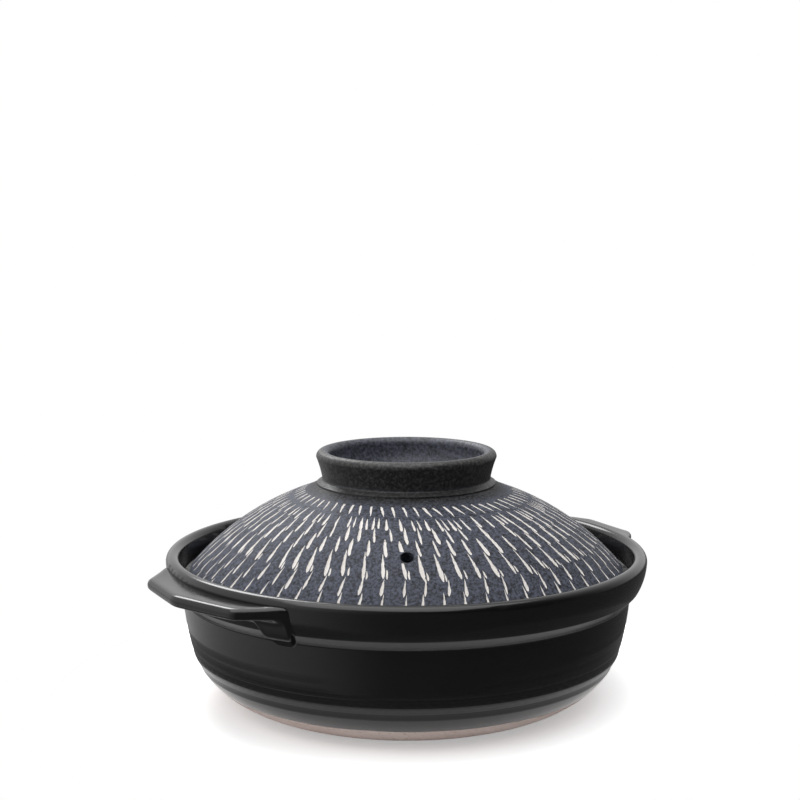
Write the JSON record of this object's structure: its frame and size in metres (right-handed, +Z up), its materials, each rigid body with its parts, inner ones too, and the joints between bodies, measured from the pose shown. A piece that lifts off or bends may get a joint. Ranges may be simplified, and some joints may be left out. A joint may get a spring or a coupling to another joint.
{
  "type": "lidded clay pot",
  "caption": "Round earthenware pot for cooking over a flame or at the table, with lug handles, an inner ledge, and a domed lid with a ring knob that lifts off.",
  "frame": {"origin": "centre of the base, on the surface that the pot stands on", "axes": "+Z up through the middle of the lid's knob, +X through the middle of one handle"},
  "size_m": [0.3066, 0.27, 0.1384],
  "materials": {
    "pot_glaze": "smooth satin black glaze, with bare pinkish clay round the base",
    "lid_glaze": "dark blue-grey speckled glaze with pale chatter marks cut through it",
    "knob_glaze": "near-black speckled glaze, lighter along the rim"
  },
  "bodies": {
    "pot": {"pot_bowl": "pot_glaze", "handle_left": "pot_glaze", "handle_right": "pot_glaze"},
    "lid": {"lid_dome": "lid_glaze", "lid_knob": "knob_glaze"}
  },
  "joints": [
    {"name": "lid_lift", "type": "slide", "parent": "pot", "child": "lid", "axis": [0, 0, 1], "range_m": [0, 0.11]}
  ]
}
